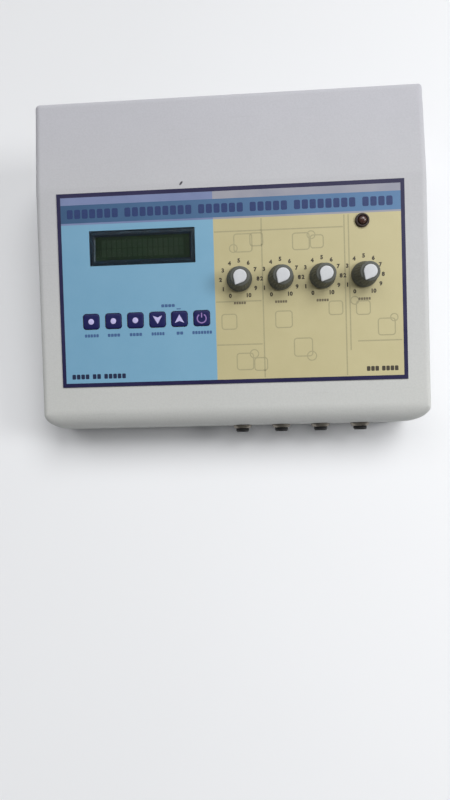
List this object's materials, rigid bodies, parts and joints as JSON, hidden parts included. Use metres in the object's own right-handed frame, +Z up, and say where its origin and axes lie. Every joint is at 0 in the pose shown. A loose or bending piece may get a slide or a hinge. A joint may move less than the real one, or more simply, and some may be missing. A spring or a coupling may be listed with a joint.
{
  "type": "tens unit",
  "caption": "Desktop electrotherapy console with a sloping printed panel, a character display, membrane keys, intensity knobs, output jacks in the front wall and a mains inlet at the back.",
  "frame": {"origin": "middle of the footprint, on the surface that the feet stand on", "axes": "+X to the user's right, +Y to the rear, +Z up; the user stands at -Y"},
  "size_m": [0.2642, 0.2282, 0.0791],
  "materials": {
    "case_abs": "fine spark-eroded light grey ABS",
    "rear_plate": "smooth grey ABS sheet",
    "foot_rubber": "matt black rubber",
    "screw_steel": "zinc plated",
    "overlay_film": "reverse printed polycarbonate film, fine velvet texture",
    "key_film": "embossed printed film, navy with pale symbols",
    "membrane_film": "clear polyester with silver tracks",
    "window_clear": "clear hard-coated window over a dark display",
    "lcd_frame_black": "black painted steel",
    "lcd_glass": "unlit yellow-green character display",
    "board_green": "solder-masked fibreglass",
    "knob_grey": "satin dark grey moulding",
    "cap_white": "satin off-white moulding",
    "shaft_alloy": "turned",
    "pot_metal": "pressed, satin",
    "nickel": "nickel plated",
    "black_moulding": "satin black moulding",
    "lamp_red": "unlit deep red lens",
    "core_steel": "varnished laminations with a taped winding"
  },
  "bodies": {
    "console": {"top_cover": "case_abs", "bottom_base": "case_abs", "rear_panel": "rear_plate", "foot_front_left": "foot_rubber", "foot_front_right": "foot_rubber", "foot_rear_left": "foot_rubber", "foot_rear_right": "foot_rubber", "case_screw_front_left": "screw_steel", "case_screw_front_right": "screw_steel", "case_screw_rear_left": "screw_steel", "case_screw_rear_right": "screw_steel", "front_overlay": "overlay_film", "keypad_membrane": "membrane_film", "lcd_window": "window_clear", "lcd_frame": "lcd_frame_black", "lcd_glass": "lcd_glass", "lcd_board": "board_green", "main_board": "board_green", "pot_body_1": "pot_metal", "pot_body_2": "pot_metal", "pot_body_3": "pot_metal", "pot_body_4": "pot_metal", "pot_nut_1": "nickel", "pot_nut_2": "nickel", "pot_nut_3": "nickel", "pot_nut_4": "nickel", "led_collar": "black_moulding", "led_lamp": "lamp_red", "jack_1": "black_moulding", "jack_2": "black_moulding", "jack_3": "black_moulding", "jack_4": "black_moulding", "jack_nut_1": "nickel", "jack_nut_2": "nickel", "jack_nut_3": "nickel", "jack_nut_4": "nickel", "mains_inlet": "black_moulding", "rocker_frame": "black_moulding", "fuse_holder": "black_moulding", "mains_transformer": "core_steel"},
    "control_1": {"knob_1": "knob_grey", "knob_cap_1": "cap_white", "pot_shaft_1": "shaft_alloy"},
    "control_2": {"knob_2": "knob_grey", "knob_cap_2": "cap_white", "pot_shaft_2": "shaft_alloy"},
    "control_3": {"knob_3": "knob_grey", "knob_cap_3": "cap_white", "pot_shaft_3": "shaft_alloy"},
    "control_4": {"knob_4": "knob_grey", "knob_cap_4": "cap_white", "pot_shaft_4": "shaft_alloy"},
    "keypad_key_1": {"key_1": "key_film"},
    "keypad_key_2": {"key_2": "key_film"},
    "keypad_key_3": {"key_3": "key_film"},
    "keypad_key_4": {"key_4": "key_film"},
    "keypad_key_5": {"key_5": "key_film"},
    "keypad_key_6": {"key_6": "key_film"},
    "mains_rocker": {"rocker_button": "black_moulding"},
    "fuse_carrier": {"fuse_cap": "black_moulding"}
  },
  "joints": [
    {"name": "intensity_1", "type": "hinge", "parent": "console", "child": "control_1", "pos_m": [0.0061, -0.01274, 0.06198], "axis": [0, 0.1736, -0.9848], "range_deg": [0, 300]},
    {"name": "intensity_2", "type": "hinge", "parent": "console", "child": "control_2", "pos_m": [0.0336, -0.01274, 0.06198], "axis": [0, 0.1736, -0.9848], "range_deg": [0, 300]},
    {"name": "intensity_3", "type": "hinge", "parent": "console", "child": "control_3", "pos_m": [0.0611, -0.01274, 0.06198], "axis": [0, 0.1736, -0.9848], "range_deg": [0, 300]},
    {"name": "intensity_4", "type": "hinge", "parent": "console", "child": "control_4", "pos_m": [0.0886, -0.01274, 0.06198], "axis": [0, 0.1736, -0.9848], "range_deg": [0, 300]},
    {"name": "press_1", "type": "slide", "parent": "console", "child": "keypad_key_1", "axis": [0, 0.1736, -0.9848], "range_m": [0, 0.0005], "stiffness_N_per_m": 800},
    {"name": "press_2", "type": "slide", "parent": "console", "child": "keypad_key_2", "axis": [0, 0.1736, -0.9848], "range_m": [0, 0.0005], "stiffness_N_per_m": 800},
    {"name": "press_3", "type": "slide", "parent": "console", "child": "keypad_key_3", "axis": [0, 0.1736, -0.9848], "range_m": [0, 0.0005], "stiffness_N_per_m": 800},
    {"name": "press_4", "type": "slide", "parent": "console", "child": "keypad_key_4", "axis": [0, 0.1736, -0.9848], "range_m": [0, 0.0005], "stiffness_N_per_m": 800},
    {"name": "press_5", "type": "slide", "parent": "console", "child": "keypad_key_5", "axis": [0, 0.1736, -0.9848], "range_m": [0, 0.0005], "stiffness_N_per_m": 800},
    {"name": "press_6", "type": "slide", "parent": "console", "child": "keypad_key_6", "axis": [0, 0.1736, -0.9848], "range_m": [0, 0.0005], "stiffness_N_per_m": 800},
    {"name": "mains_switch", "type": "hinge", "parent": "console", "child": "mains_rocker", "pos_m": [-0.049, 0.10455, 0.038], "axis": [1, 0, 0], "range_deg": [0, 20]},
    {"name": "fuse_release", "type": "hinge", "parent": "console", "child": "fuse_carrier", "pos_m": [-0.022, 0.10355, 0.038], "axis": [0, 1, 0], "range_deg": [0, 45]}
  ]
}
